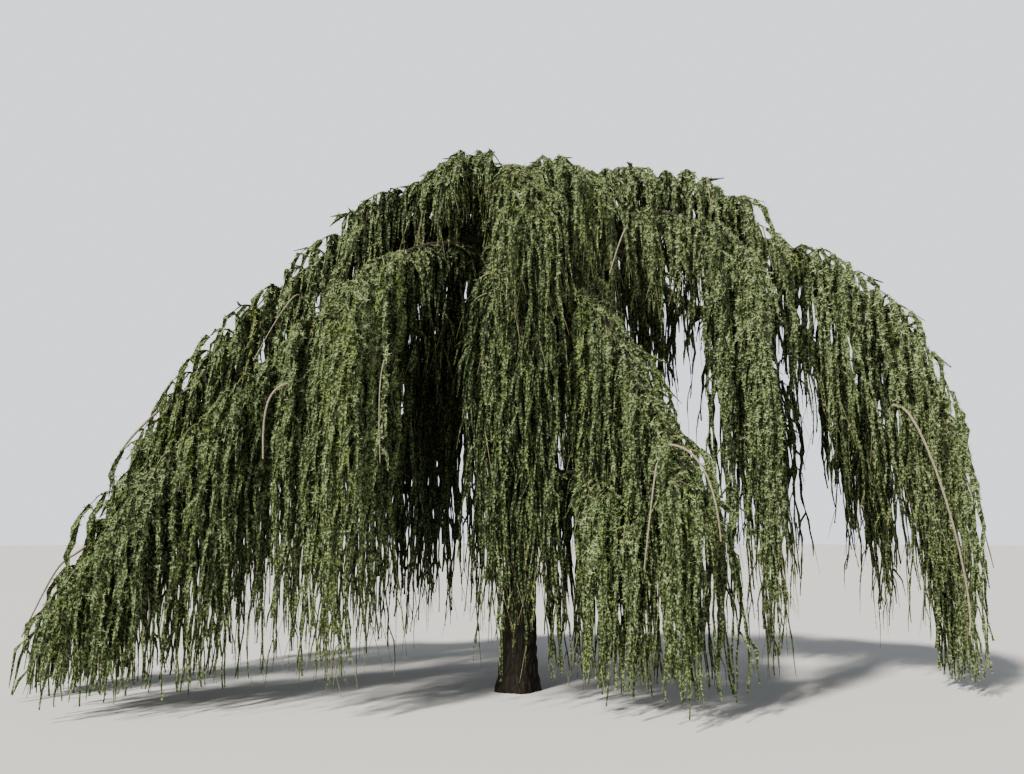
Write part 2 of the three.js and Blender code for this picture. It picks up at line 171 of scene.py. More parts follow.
class Link:
    """One output of a node. Arithmetic on it adds Math nodes."""

    def __init__(self, graph, socket):
        self.graph = graph
        self.socket = socket

    def other(self, output):
        return Link(self.graph, self.socket.node.outputs[output])

    def into(self, node, name):
        self.graph.tree.links.new(self.socket, node.inputs[name])

    def math(self, operation, *values):
        return self.graph.node("ShaderNodeMath", {"operation": operation}, values)

    def __add__(self, value):
        return self.math("ADD", self, value)

    __radd__ = __add__

    def __sub__(self, value):
        return self.math("SUBTRACT", self, value)

    def __rsub__(self, value):
        return self.math("SUBTRACT", value, self)

    def __mul__(self, value):
        return self.math("MULTIPLY", self, value)

    __rmul__ = __mul__

    def __truediv__(self, value):
        return self.math("DIVIDE", self, value)

    def __rtruediv__(self, value):
        return self.math("DIVIDE", value, self)

    def __mod__(self, value):
        return self.math("FLOORED_MODULO", self, value)

    def between(self, low, high):
        """0 up to low, 1 from high on, and a straight ramp from one to the other."""
        return self.graph.node("ShaderNodeMapRange", {"clamp": True}, [self, low, high, 0, 1])


class Graph:
    """The nodes of one finish, or of one Geometry Nodes tree."""

    def __init__(self, tree):
        self.tree = tree

    def node(self, kind, settings=None, values=(), output=0):
        """Adds a node: first its settings, then its sockets' values or links, by place or by name."""
        made = self.tree.nodes.new(kind)
        for name, setting in (settings or {}).items():
            setattr(made, name, setting)
        for name, value in values.items() if isinstance(values, dict) else enumerate(values):
            if isinstance(value, Link):
                value.into(made, name)
            else:
                made.inputs[name].default_value = value
        return Link(self, made.outputs[output])

    def noise(self, place, scale, detail, output=0):
        values = {"Vector": place, "Scale": scale, "Detail": detail}
        return self.node("ShaderNodeTexNoise", {}, values, output)

    def mix(self, share, colour, other):
        settings = {"data_type": "RGBA"}
        values = {0: share, 6: colour, 7: other}
        return self.node("ShaderNodeMix", settings, values, output=2)

    def vector(self, operation, *values):
        return self.node("ShaderNodeVectorMath", {"operation": operation}, values)

    def scaled(self, vector, scale):
        values = {"Vector": vector, "Scale": scale}
        return self.node("ShaderNodeVectorMath", {"operation": "SCALE"}, values)


def finish_graph(name, colour, roughness):
    """A new finish with its graph and its shader node."""
    finish = bpy.data.materials.new(name)
    finish.use_nodes = True
    finish.diffuse_color = (*colour, 1)
    shader = finish.node_tree.nodes["Principled BSDF"]
    shader.inputs["Base Color"].default_value = (*colour, 1)
    shader.inputs["Roughness"].default_value = roughness
    shader.inputs["Specular IOR Level"].default_value = SPECULAR_LEVEL
    return finish, Graph(finish.node_tree), shader


def growing_tree(name, inputs):
    """A new Geometry Nodes tree: its graph, and a link to each of its named inputs."""
    tree = bpy.data.node_groups.new(name, "GeometryNodeTree")
    tree.interface.new_socket("Geometry", in_out="INPUT", socket_type="NodeSocketGeometry")
    tree.interface.new_socket("Geometry", in_out="OUTPUT", socket_type="NodeSocketGeometry")
    for title, kind in inputs.items():
        tree.interface.new_socket(title, in_out="INPUT", socket_type="NodeSocket" + kind)
    graph = Graph(tree)
    first = graph.node("NodeGroupInput")
    return graph, {title: first.other(title) for title in ["Geometry", *inputs]}


def end_tree(graph, geometry, finish):
    """Every tree ends in real geometry with its finish set."""
    real = graph.node("GeometryNodeRealizeInstances", {}, [geometry])
    painted = graph.node("GeometryNodeSetMaterial", {}, {"Geometry": real, "Material": finish})
    painted.into(graph.tree.nodes.new("NodeGroupOutput"), 0)


def named(graph, name, kind):
    return graph.node("GeometryNodeInputNamedAttribute", {"data_type": kind}, {"Name": name})


def drop_values(mesh, titles):
    for title in titles:
        if title in mesh.attributes:
            mesh.attributes.remove(mesh.attributes[title])


def grown(name, mesh, graph, sizes):
    """A plain mesh object grown from a mesh by a Geometry Nodes tree with these sizes."""
    seed = bpy.data.objects.new(name + "_seed", mesh)
    bpy.context.scene.collection.objects.link(seed)
    growth = seed.modifiers.new("growth", "NODES")
    growth.node_group = graph.tree
    for item in graph.tree.interface.items_tree:
        if item.in_out == "INPUT" and item.name in sizes:
            growth[item.identifier] = sizes[item.name]
    depsgraph = bpy.context.evaluated_depsgraph_get()
    result = bpy.data.meshes.new_from_object(seed.evaluated_get(depsgraph))
    seed.modifiers.remove(growth)
    bpy.data.objects.remove(seed)
    drop_values(result, WORKING_VALUES)
    result.name = name
    piece = bpy.data.objects.new(name, result)
    bpy.context.scene.collection.objects.link(piece)
    return piece


def tube_mesh(name, centres, across, over, radii, along):
    """A closed tube of quads: one row of radii for each of its centres, and a grain that runs along it."""
    rings, sides = radii.shape
    heading = np.arange(sides) * 2 * math.pi / sides
    ways = across[:, None] * np.cos(heading)[:, None] + over[:, None] * np.sin(heading)[:, None]
    points = (centres[:, None] + ways * radii[:, :, None]).reshape(-1, 3)
    ring, side = np.meshgrid(np.arange(rings - 1), np.arange(sides), indexing="ij")
    here = ring * sides
    onward = here + sides
    beside = (side + 1) % sides
    quads = np.stack([here + side, here + beside, onward + beside, onward + side], -1)
    ends = [list(range(sides))[::-1], list(range((rings - 1) * sides, rings * sides))]
    mesh = bpy.data.meshes.new(name)
    mesh.from_pydata(points.tolist(), [], quads.reshape(-1, 4).tolist() + ends)
    round_it = np.stack([np.cos(heading), np.sin(heading)], -1)[None] * radii.mean(1)[:, None, None]
    grain = np.concatenate([round_it, np.broadcast_to(along[:, None, None], (rings, sides, 1))], -1)
    mesh.attributes.new("grain", "FLOAT_VECTOR", "POINT").data.foreach_set("vector", grain.ravel())
    return mesh


def bark_relief(graph, grain, width, length):
    """How near a point is to the middle of its plate of bark, from 0 in a fissure."""
    warp = graph.noise(grain, BEND_SCALE, 3.0, "Color")
    bent = graph.vector("ADD", grain, graph.scaled(warp, BEND))
    flat = graph.node("ShaderNodeCombineXYZ", {}, [1 / width, 1 / width, 1 / length])
    cells = {"Vector": graph.vector("MULTIPLY", bent, flat), "Scale": 1.0}
    edge = graph.node("ShaderNodeTexVoronoi", {"feature": "DISTANCE_TO_EDGE"}, cells)
    return edge.between(*PLATE_EDGES)


relief, inputs = growing_tree(
    "bark_plates", {"Plate width": "Float", "Plate length": "Float", "Depth": "Float", "Bark": "Material"}
)
grain = named(relief, "grain", "FLOAT_VECTOR")
plate = bark_relief(relief, grain, inputs["Plate width"], inputs["Plate length"])
flakes = relief.noise(grain, FLAKE_SCALE, 4.0)
lift = (plate - 1) * inputs["Depth"] + (flakes - 0.5) * inputs["Depth"] * FLAKE_DEPTH
normal = relief.node("GeometryNodeInputNormal")
raised = relief.node(
    "GeometryNodeSetPosition", {}, {"Geometry": inputs["Geometry"], "Offset": relief.scaled(normal, lift)}
)
end_tree(relief, raised, inputs["Bark"])


def bark_finish(name, plate_colour, fissure_colour, width, length):
    """Weathered bark: paler plate faces, dark fissures, and fine upright fibres."""
    finish, graph, shader = finish_graph(name, plate_colour, BARK_ROUGHNESS)
    place = graph.node("ShaderNodeTexCoord").other("Object")
    plates = bark_relief(graph, place, width, length)
    stretch = graph.node("ShaderNodeCombineXYZ", {}, [1.0, 1.0, FIBRE_STRETCH])
    fibres = graph.noise(graph.vector("MULTIPLY", place, stretch), FIBRE_SCALE, 5.0)
    patches = graph.noise(place, PATCH_SCALE, 2.0).between(*PATCH_EDGES)
    pale = tuple(PALE_PATCH * c for c in plate_colour)
    face = graph.mix(patches, (*plate_colour, 1), (*pale, 1))
    worn = graph.mix(fibres.between(*FIBRE_EDGES), face, (*fissure_colour, 1))
    graph.mix(plates, (*fissure_colour, 1), worn).into(shader, "Base Color")
    bump = {"Strength": FIBRE_STRENGTH, "Distance": FIBRE_BUMP, "Height": fibres}
    graph.node("ShaderNodeBump", {}, bump).into(shader, "Normal")
    return finish


heights = np.arange(0, TRUNK_HEIGHT + TRUNK_RING_STEP / 2, TRUNK_RING_STEP)
heights[-1] = TRUNK_HEIGHT
trunk_headings = np.arange(TRUNK_SIDES) * 2 * math.pi / TRUNK_SIDES
trunk_radii = trunk_radius(heights[:, None], -trunk_headings)
east = np.tile([1.0, 0, 0], (len(heights), 1))
north = np.tile([0, 1.0, 0], (len(heights), 1))
trunk_bark = bark_finish("trunk_bark", TRUNK_PLATES_WITH_PAINTED_SHADE, TRUNK_FISSURES_WITH_PAINTED_SHADE, PLATE_WIDTH, PLATE_LENGTH)
trunk = grown(
    "trunk_and_bark",
    tube_mesh("trunk_blank", trunk_axis(heights), east, north, trunk_radii, heights),
    relief,
    {"Plate width": PLATE_WIDTH, "Plate length": PLATE_LENGTH, "Depth": FISSURE_DEPTH, "Bark": trunk_bark},
)
# The relief keeps to the flat cut at the ground and to the height of the tip
places = np.empty(3 * len(trunk.data.vertices), np.float32)
trunk.data.vertices.foreach_get("co", places)
places[2::3] = np.clip(places[2::3], 0, TRUNK_HEIGHT)
trunk.data.vertices.foreach_set("co", places)
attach(trunk, "root")
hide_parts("trunk")


# The boughs: tapering limbs that climb out of the trunk, pass their crest and fall outside the masses
# that they carry. Their bark is dark brown, darkened further as painted shade under the needles, and
# smoother than the trunk's, with low knots.
CLIMB = 8
WANDER = 0.045
WANDER_WAVES = 9
LINE_POINTS = 481
FRAME_REACH = 0.004
BOUGH_TAPER = 0.9
WOOD_TIP_RADIUS = 0.006
BOUGH_SIDES = 12
BOUGH_RING_STEP = 0.04
# The bark's own dark brown, darkened further as painted shade under the needles
BOUGH_PLATES_WITH_PAINTED_SHADE = (0.05, 0.042, 0.03)
BOUGH_FISSURES_WITH_PAINTED_SHADE = (0.02, 0.016, 0.011)
KNOT_WIDTH = 0.05
KNOT_LENGTH = 0.09
KNOT_DEPTH = 0.003
FIRST_SEED = 11
SEED_STEP = 7

# For each bough: its side of the tree, its heading and how far it sweeps on in degrees, the heights of its
# foot and crest, its reach, the height of its tip, how full its shoulder and belly are, its radius at the
# foot, the bare share of its length, its side twigs and how far they spread, the longest branchlets at its
# foot and at its tip, and the height of their hem
Bough = namedtuple(
    "Bough",
    "name side azimuth sweep foot crest reach tip shoulder belly thick bare twigs spread near hang hem",
)
BOUGH_ROWS = [
    ("left_outer", "left", 176, 5, 4.05, 4.83, 4.15, 0.45, 2, 1.25, 0.056, 0.16, 10, 0.54, 1.2, 2.3, 0.05),
    ("left_front", "left", 203, -8, 3.6, 4.65, 3.7, 0.9, 1.25, 1.2, 0.052, 0.36, 8, 0.5, 2.3, 2.8, 0.12),
    ("left_inner", "left", 222, -6, 3.3, 4.25, 1.95, 3.0, 1.9, 1.6, 0.038, 0.58, 5, 0.42, 3.5, 3.2, 0.35),
    ("left_shoulder", "left", 190, -6, 4.35, 4.86, 1.6, 4.05, 2, 2, 0.034, 0.2, 5, 0.43, 0.6, 0.9, 0.9),
    ("trunk_curtain", "front", 262, 5, 2.95, 3.85, 0.9, 3.3, 2, 2, 0.028, 0.35, 5, 0.33, 3.1, 2.9, 0.5),
    ("front_right", "front", 320, -7, 3.9, 4.84, 2.1, 1.5, 1.08, 1.08, 0.044, 0.18, 7, 0.38, 1.5, 2.6, 0.12),
    ("front_centre", "front", 262, -12, 3.45, 4.35, 0.85, 3.0, 1.6, 1.5, 0.028, 0.3, 4, 0.2, 0.7, 1.0, 0.9),
    ("front_low", "front", 302, 8, 1.4, 2.05, 1.45, 1.5, 2, 1.6, 0.034, 0.42, 4, 0.38, 2.0, 1.8, 0.12),
    ("right_column", "right", 346, -6, 3.75, 4.6, 2.3, 3.5, 2.2, 2.2, 0.042, 0.7, 3, 0.23, 3.0, 3.3, 0.3),
    ("right_top", "right", 355, -4, 4.45, 4.96, 2.15, 4.35, 2, 2, 0.034, 0.2, 7, 0.4, 1.2, 0.7, 0.9),
    ("right_outer", "right", 358, 2, 4.0, 4.62, 4.03, 1.6, 2.2, 2.9, 0.056, 0.36, 9, 0.46, 0.5, 2.9, 0.06),
    ("crown_left", "front", 215, 0, 4.55, 5.06, 0.85, 4.6, 2, 2, 0.028, 0.2, 5, 0.4, 0.4, 0.55, 0.9),
    ("crown_top", "front", 318, 0, 4.55, 4.95, 1.0, 4.4, 2, 2, 0.028, 0.2, 5, 0.4, 0.45, 0.8, 0.9),
    ("crown_front", "front", 285, -8, 4.4, 4.92, 1.0, 4.0, 2, 2, 0.028, 0.2, 5, 0.3, 0.5, 1.1, 0.9),
    ("crown_back", "back", 95, 0, 4.5, 4.98, 1.3, 4.25, 2, 2, 0.032, 0.2, 5, 0.48, 1.5, 1.8, 0.9),
    ("back_left_top", "back", 140, 0, 4.3, 4.86, 1.85, 3.9, 2, 2, 0.036, 0.2, 5, 0.48, 1.7, 1.8, 0.9),
    ("back_right_top", "back", 37, 0, 4.25, 4.84, 1.9, 4.0, 2, 2, 0.036, 0.25, 4, 0.44, 0.7, 1.6, 0.9),
    ("left_back", "back", 156, 0, 3.65, 4.35, 3.45, 1.9, 1.8, 1.5, 0.048, 0.3, 6, 0.52, 2.9, 2.6, 0.4),
    ("back_left", "back", 121, 0, 3.2, 4.05, 2.55, 2.5, 1.8, 1.6, 0.042, 0.25, 6, 0.52, 3.5, 2.8, 0.35),
    ("back_middle", "back", 90, 0, 3.45, 4.15, 2.15, 2.7, 1.8, 1.6, 0.04, 0.35, 5, 0.4, 1.5, 1.9, 0.55),
    ("back_right", "back", 57, 0, 3.3, 4.1, 2.35, 2.5, 1.8, 1.6, 0.04, 0.22, 6, 0.45, 3.2, 1.7, 0.55),
    ("right_back", "back", 26, 0, 3.55, 4.3, 3.25, 2.6, 2, 1.7, 0.046, 0.7, 4, 0.36, 1.9, 2.1, 0.45),
    ("right_far_back", "back", 13, 0, 3.8, 4.5, 3.9, 2.1, 2.2, 1.7, 0.05, 0.72, 4, 0.4, 1.6, 1.8, 0.25),
]
BOUGHS = [Bough(*row) for row in BOUGH_ROWS]


def bough_seed(number):
    return FIRST_SEED + SEED_STEP * number


class BoughLine:
    """The line of a whole bough, by the share of its length from its foot."""

    def __init__(self, bough, seed):
        self.bough = bough
        turn = np.linspace(0, 1, LINE_POINTS)
        root = trunk_axis(bough.foot)
        out = bough.reach * np.sin(turn * math.pi / 2) ** (2 / bough.shoulder)
        fall = np.maximum(np.cos(turn * math.pi / 2), 0) ** (2 / bough.belly)
        climb = (bough.crest - bough.foot) * (1 - turn) ** CLIMB
        sway = WANDER * np.sin(WANDER_WAVES * turn + seed) * turn
        heading = self.heading(turn)
        east = root[0] + out * np.cos(heading) - sway * np.sin(heading)
        north = root[1] + out * np.sin(heading) + sway * np.cos(heading)
        height = bough.tip + (bough.crest - bough.tip) * fall - climb
        self.points = np.stack([east, north, height], -1)
        steps = np.linalg.norm(np.diff(self.points, axis=0), axis=1)
        self.shares = np.concatenate([[0], np.cumsum(steps)]) / steps.sum()
        self.length = steps.sum()

    def heading(self, share):
        return np.radians(self.bough.azimuth + self.bough.sweep * share)

    def at(self, share):
        return np.stack([np.interp(share, self.shares, self.points[:, axis]) for axis in range(3)], -1)

    def frames(self, share):
        """The directions level across the line, square to both and below it, and along it."""
        along = self.at(np.minimum(share + FRAME_REACH, 1)) - self.at(np.maximum(share - FRAME_REACH, 0))
        along /= np.linalg.norm(along, axis=-1, keepdims=True)
        heading = self.heading(np.asarray(share))
        across = np.stack([-np.sin(heading), np.cos(heading), 0 * heading], -1)
        across -= along * np.sum(across * along, -1, keepdims=True)
        across /= np.linalg.norm(across, axis=-1, keepdims=True)
        return across, np.cross(across, along), along

    def radius(self, share):
        return WOOD_TIP_RADIUS + (self.bough.thick - WOOD_TIP_RADIUS) * (1 - share) ** BOUGH_TAPER


bough_bark = bark_finish("bough_bark", BOUGH_PLATES_WITH_PAINTED_SHADE, BOUGH_FISSURES_WITH_PAINTED_SHADE, KNOT_WIDTH, KNOT_LENGTH)
lines = {bough.name: BoughLine(bough, bough_seed(number)) for number, bough in enumerate(BOUGHS)}
limbs = {}
for bough in BOUGHS:
    line = lines[bough.name]
    rings = np.linspace(0, 1, int(line.length / BOUGH_RING_STEP))
    across, below, along = line.frames(rings)
    radii = np.repeat(line.radius(rings)[:, None], BOUGH_SIDES, 1)
    limb = grown(
        bough.name + "_limb",
        tube_mesh(bough.name, line.at(rings), across, below, radii, rings * line.length),
        relief,
        {"Plate width": KNOT_WIDTH, "Plate length": KNOT_LENGTH, "Depth": KNOT_DEPTH, "Bark": bough_bark},
    )
    limb.data.polygons.foreach_set("use_smooth", [True] * len(limb.data.polygons))
    limbs[bough.name] = limb
    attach(limb, "root")
    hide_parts(bough.name + "_bough")


# The twigs: side twigs leave each bough to left and right in turn, rise a little and droop. They are thin,
# tough wood with light yellow-brown bark, mostly hidden by the branchlets that hang from them.
SIDES_OF_TREE = ("left", "front", "right", "back")
UP = np.array([0, 0, 1])
GROWTH_SEED = 500
THROW_SEEDS = (977, 13)
DICE_STEP = 16807
DICE_TOP = 2147483647
TWIG_LIFT = 0.24
TWIG_SAG = 0.2
TWIG_BEND = 0.55
TWIG_ONWARD = 0.5
TWIG_POINTS = 8
TWIG_GIRTH = 0.45
TWIG_SIDES = 3
TWIG_RADIUS = 0.009
TWIG_TAPER = 0.6
TWIG_THICKNESS = {"twig": 1, "bare twig": 0.8, "bare tip": 0.45}
TWIG_PLATES = (0.3, 0.27, 0.14)
TWIG_FISSURES = (0.16, 0.14, 0.075)
FINE_BARK = (0.01, 0.03)
MAIN_TWIG_START = 0.4
LEAST_MAIN_TWIG = 0.75
FINE_TWIGS = {"left": 4, "front": 4, "right": 4, "back": 2}

# A pair of values here is the least and the most of a random draw. Roots are numbers of a side twig's
# points, and girths are shares of a full branchlet's. Drifts say how far an arch carries a shoot from its
# root, outward ones as a share of the side twig
FINE_TWIG_SIZES = (0.3, 0.9)
BARE_TWIG_SHARE = 0.06
BARE_TWIG_LEAN = 0.3
BARE_TWIG_LENGTHS = (0.3, 0.8)
BARE_TWIG_DROOP = 0.1
BARE_TWIG_POINTS = 9
LINE_STEP = 0.08
LEAST_LINE_POINTS = 4
ARCH_LIFT = 0.25
ARCH_BEND = 0.9
ARCH_END = 1.1
SWAY = 0.04
SWAY_WAVES = (4, 9)
LEAST_CLEARANCE = 0.03
LEAST_HANG = 0.15
BRANCHLET_ROOTS = (2, 4, 7)
BRANCHLET_STEP = 0.2
BRANCHLET_HEMS = (0.6, 2.0)
BRANCHLET_DROPS = (0.93, 1.0)
BRANCHLET_LENGTHS = (0.78, 1.1)
BRANCHLET_GIRTHS = (0.7, 1.2)
OUTWARD_DRIFTS = (0.08, 0.3)
ONWARD_DRIFTS = (0, 0.12)
LIMB_DRIFTS = (0.04, 0.14)
SIDE_SHOOTS_PER_METRE = 1.1
SIDE_SHOOT_PLACES = (0.15, 0.88)
SIDE_SHOOT_DRIFTS = (0.04, 0.12)
SIDE_SHOOT_LENGTHS = (0.15, 0.4)
SIDE_SHOOT_GIRTHS = (0.45, 0.8)
YOUNG_SHARE = 0.4
YOUNG_DRIFTS = (0.02, 0.08)
YOUNG_LENGTHS = (0.25, 0.6)
YOUNG_GIRTH = 0.3
BARE_TIP_SHARE = 0.6
BARE_TIP_LEAN = 0.35
BARE_TIP_LENGTHS = (0.15, 0.38)
BARE_TIP_DROOP = 0.15
SHORT_SHOOT_POINTS = 5
THATCH_ROOTS = (1, 3, 5, 7)
THATCH_STEP = 0.017
THATCH_FROM = 0.22
THATCH_BELOW = (-0.8, 0.6)
THATCH_RISES = (0, 60)
THATCH_LENGTHS = (0.08, 0.24)
THATCH_DROOPS = (0.7, 1.6)
THATCH_GIRTHS = (0.45, 0.85)
INNER_ROOTS = (1, 4)
INNER_STEP = {"left": 0.12, "front": 0.12, "right": 0.12, "back": 0.06}
INNER_SHARE = 0.85
INNER_LENGTHS = (0.78, 1.0)
INNER_GIRTHS = (1.1, 1.7)
INNER_OUTWARD = 0.1
INNER_DRIFTS = (0.02, 0.1)
FRINGE_FROM = 0.35
FRINGE_STEP = 0.05
FRINGE_DRIFTS = (0.05, 0.22)
FRINGE_LENGTHS = (0.2, 0.55)
FRINGE_GIRTHS = (0.7, 1.1)
BARE_PART_STEP = 0.07
BARE_PART_HANG = 0.95
BARE_PART_DRIFTS = (0.04, 0.2)
# Boughs that pass a hollow of the crown, and the share of their length that lies in its shade. The shoots
# and tufts on that share take the painted shade
OPEN_LIMBS = {"left_inner": 0.19, "front_low": 0.42}


class Lines:
    """Many separate lines of points, each point with its girth and its line's shade, for one mesh."""

    def __init__(self):
        self.points = []
        self.girths = []
        self.shades = []

    def add(self, points, girths, shade=0):
        self.points.append(points)
        self.girths.append(np.broadcast_to(girths, len(points)))
        self.shades.append(np.full(len(points), shade))

    def mesh(self, name):
        sizes = np.array([len(points) for points in self.points])
        points = np.concatenate(self.points).astype(np.float32)
        starts = np.arange(len(points) - 1)
        starts = np.delete(starts, np.cumsum(sizes)[:-1] - 1)
        made = bpy.data.meshes.new(name)
        made.vertices.add(len(points))
        made.vertices.foreach_set("co", points.ravel())
        made.edges.add(len(starts))
        made.edges.foreach_set("vertices", np.stack([starts, starts + 1], -1).ravel())
        for title, rows in (("girth", self.girths), ("shade", self.shades)):
            values = np.concatenate(rows).astype(np.float32)
            made.attributes.new(title, "FLOAT", "POINT").data.foreach_set("value", values)
        made.update()
        return made


def dice(seed):
    """Seeded dice: one seed always throws the same numbers from 0 to 1."""
    state = seed
    while True:
        state = (state * DICE_STEP) % DICE_TOP
        yield state / DICE_TOP


def level_way(heading):
    return np.array([math.cos(heading), math.sin(heading), 0])


def any_way(random):
    return level_way(random.uniform(0, 2 * math.pi))


def bezier(start, bend, end, count):
    t = np.linspace(0, 1, count)[:, None]
    return (1 - t) ** 2 * start + 2 * t * (1 - t) * bend + t**2 * end


def side_twig(start, out):
    """A side twig: it leaves the bough, rises a little and ends out to one side."""
    size = np.linalg.norm(out)
    bend = start + TWIG_BEND * out + TWIG_LIFT * size * UP
    end = start + out - TWIG_SAG * size * UP
    return bezier(start, bend, end, TWIG_POINTS)


def hanging_line(start, out, length, random):
    """A branchlet's line: it arches away from its root and hangs, swaying a little on its way down."""
    size = np.linalg.norm(out)
    bend = start + ARCH_BEND * out + ARCH_LIFT * size * UP
    end = start + ARCH_END * out - length * UP
    count = max(LEAST_LINE_POINTS, int(length / LINE_STEP) + 2)
    points = bezier(start, bend, end, count)
    fallen = np.linspace(0, 1, count)
    for axis in range(2):
        waves = random.uniform(*SWAY_WAVES) * length * fallen + random.uniform(0, 2 * math.pi)
        points[:, axis] += SWAY * min(1, length) * fallen * np.sin(waves)
    points[:, 2] = np.maximum(points[:, 2], LEAST_CLEARANCE)
    return points


def drooping_line(start, way, length, droop, count):
    """A short shoot's line: it leaves one way and bends down under its own weight."""
    t = np.linspace(0, 1, count)[:, None]
    points = start + way * length * t
    points[:, 2] -= droop * length * t[:, 0] ** 2
    points[:, 2] = np.maximum(points[:, 2], LEAST_CLEARANCE)
    return points


# Every line of growth, from its root to its tip, with its girth. Bare wood has a girth of 0
Growth = namedtuple("Growth", "bough kind points girth")
growth = []


def grow_thatch(bough, start, random):
    """A short shoot on a limb or twig: it leaves level or upwards, arches over and hides the wood."""
    heading = random.uniform(0, 2 * math.pi)
    rise = math.radians(random.uniform(*THATCH_RISES))
    way = math.cos(rise) * level_way(heading) + math.sin(rise) * UP
    length = random.uniform(*THATCH_LENGTHS)
    shoot = drooping_line(start, way, length, random.uniform(*THATCH_DROOPS), SHORT_SHOOT_POINTS)
    growth.append(Growth(bough, "thatch", shoot, random.uniform(*THATCH_GIRTHS)))


def grow_branchlet(bough, start, drift, longest, random):
    """A branchlet that hangs from its root to its own length or to just above the bough's hem, its side
    shoots, and on most a young or a bare tip."""
    drop = start[2] - bough.hem * random.uniform(*BRANCHLET_HEMS)
    length = min(longest * random.uniform(*BRANCHLET_LENGTHS), drop * random.uniform(*BRANCHLET_DROPS))
    if length < LEAST_HANG:
        return
    points = hanging_line(start, drift, length, random)
    growth.append(Growth(bough, "branchlet", points, random.uniform(*BRANCHLET_GIRTHS)))
    side_shoots = int(length * SIDE_SHOOTS_PER_METRE + random.uniform(0, 1))
    for share in random.uniform(*SIDE_SHOOT_PLACES, side_shoots):
        out = any_way(random) * random.uniform(*SIDE_SHOOT_DRIFTS)
        fork = points[int(len(points) * share)]
        side = hanging_line(fork, out, random.uniform(*SIDE_SHOOT_LENGTHS), random)
        growth.append(Growth(bough, "side shoot", side, random.uniform(*SIDE_SHOOT_GIRTHS)))
    room = points[-1][2] - 2 * LEAST_CLEARANCE
    if random.uniform(0, 1) < YOUNG_SHARE and room > LEAST_HANG:
        out = any_way(random) * random.uniform(*YOUNG_DRIFTS)
        young = hanging_line(points[-2], out, min(random.uniform(*YOUNG_LENGTHS), room), random)
        growth.append(Growth(bough, "young", young, YOUNG_GIRTH))
    elif random.uniform(0, 1) < BARE_TIP_SHARE and room > LEAST_HANG:
        way = BARE_TIP_LEAN * any_way(random) - UP
        length = min(random.uniform(*BARE_TIP_LENGTHS), room)
        tip = drooping_line(points[-2], way, length, BARE_TIP_DROOP, SHORT_SHOOT_POINTS)
        growth.append(Growth(bough, "bare tip", tip, 0.0))


def grow_inner(bough, start, drift, longest, random):
    """An old branchlet in the shade inside the curtain, thick and dark, that ends above the hem."""
    drop = start[2] - 2 * bough.hem
    length = min(INNER_SHARE * longest, drop) * random.uniform(*INNER_LENGTHS)
    if length > LEAST_HANG:
        points = hanging_line(start, drift, length, random)
        growth.append(Growth(bough, "inner", points, random.uniform(*INNER_GIRTHS)))


def longest_at(bough, share):
    return bough.near + (bough.hang - bough.near) * share


def side_twigs(bough, number, random):
    """The share of the bough's length at which each side twig leaves it, its turn and its size."""
    throws = dice(THROW_SEEDS[0] * bough_seed(number) + THROW_SEEDS[1])
    leafy = 1 - bough.bare
    twigs = []
    for i in range(bough.twigs):
        share = bough.bare + leafy * (i + MAIN_TWIG_START) / bough.twigs
        twigs.append((share, i, LEAST_MAIN_TWIG + (1 - LEAST_MAIN_TWIG) * next(throws)))
    count = FINE_TWIGS[bough.side] * bough.twigs
    for i in range(count):
        share = bough.bare + leafy * (i + random.uniform(0, 1)) / count
        twigs.append((share, i, random.uniform(*FINE_TWIG_SIZES)))
    return twigs


def grow_twig(bough, share, turn, size, random):
    """A side twig with the branchlets and short shoots that it carries."""
    line = lines[bough.name]
    across, _, along = line.frames(share)
    side = across * (1 if turn % 2 else -1) + TWIG_ONWARD * along * np.array([1, 1, 0])
    out = bough.spread * size * side / np.linalg.norm(side)
    twig = side_twig(line.at(share), out)
    growth.append(Growth(bough, "twig", twig, TWIG_GIRTH))
    if random.uniform(0, 1) < BARE_TWIG_SHARE:
        way = BARE_TWIG_LEAN * out / np.linalg.norm(out) - UP
        length = random.uniform(*BARE_TWIG_LENGTHS)
        bare = drooping_line(twig[-2], way, length, BARE_TWIG_DROOP, BARE_TWIG_POINTS)
        growth.append(Growth(bough, "bare twig", bare, 0.0))
    onward = level_way(line.heading(share))
    for step in BRANCHLET_ROOTS:
        drift = out * random.uniform(*OUTWARD_DRIFTS) + onward * random.uniform(*ONWARD_DRIFTS)
        grow_branchlet(bough, twig[step], drift, longest_at(bough, share), random)
    for step in THATCH_ROOTS:
        grow_thatch(bough, twig[step], random)
    root = twig[random.integers(INNER_ROOTS[0], INNER_ROOTS[1] + 1)]
    grow_inner(bough, root, out * INNER_OUTWARD, longest_at(bough, share), random)


def grow_on_limb(bough, random):
    """What the limb itself carries: branchlets, thatch, inner branchlets and a fringe of short ones."""
    line = lines[bough.name]
    for share in np.arange(bough.bare, 1, BRANCHLET_STEP / line.length):
        drift = random.uniform(*LIMB_DRIFTS) * any_way(random)
        grow_branchlet(bough, line.at(share), drift, longest_at(bough, share), random)
    for share in np.arange(THATCH_FROM * bough.bare, 1, THATCH_STEP / line.length):
        _, below, _ = line.frames(share)
        root = line.at(share) + random.uniform(*THATCH_BELOW) * below * line.radius(share)
        grow_thatch(bough, root, random)
    for share in np.arange(bough.bare, 1, INNER_STEP[bough.side] / line.length):
        drift = random.uniform(*INNER_DRIFTS) * any_way(random)
        grow_inner(bough, line.at(share), drift, longest_at(bough, share), random)
    for share in np.arange(FRINGE_FROM * bough.bare, 1, FRINGE_STEP / line.length):
        kind = "dim fringe" if share < OPEN_LIMBS.get(bough.name, 0) else "fringe"
        drift = random.uniform(*FRINGE_DRIFTS) * any_way(random)
        fringe = hanging_line(line.at(share), drift, random.uniform(*FRINGE_LENGTHS), random)
        growth.append(Growth(bough, kind, fringe, random.uniform(*FRINGE_GIRTHS)))


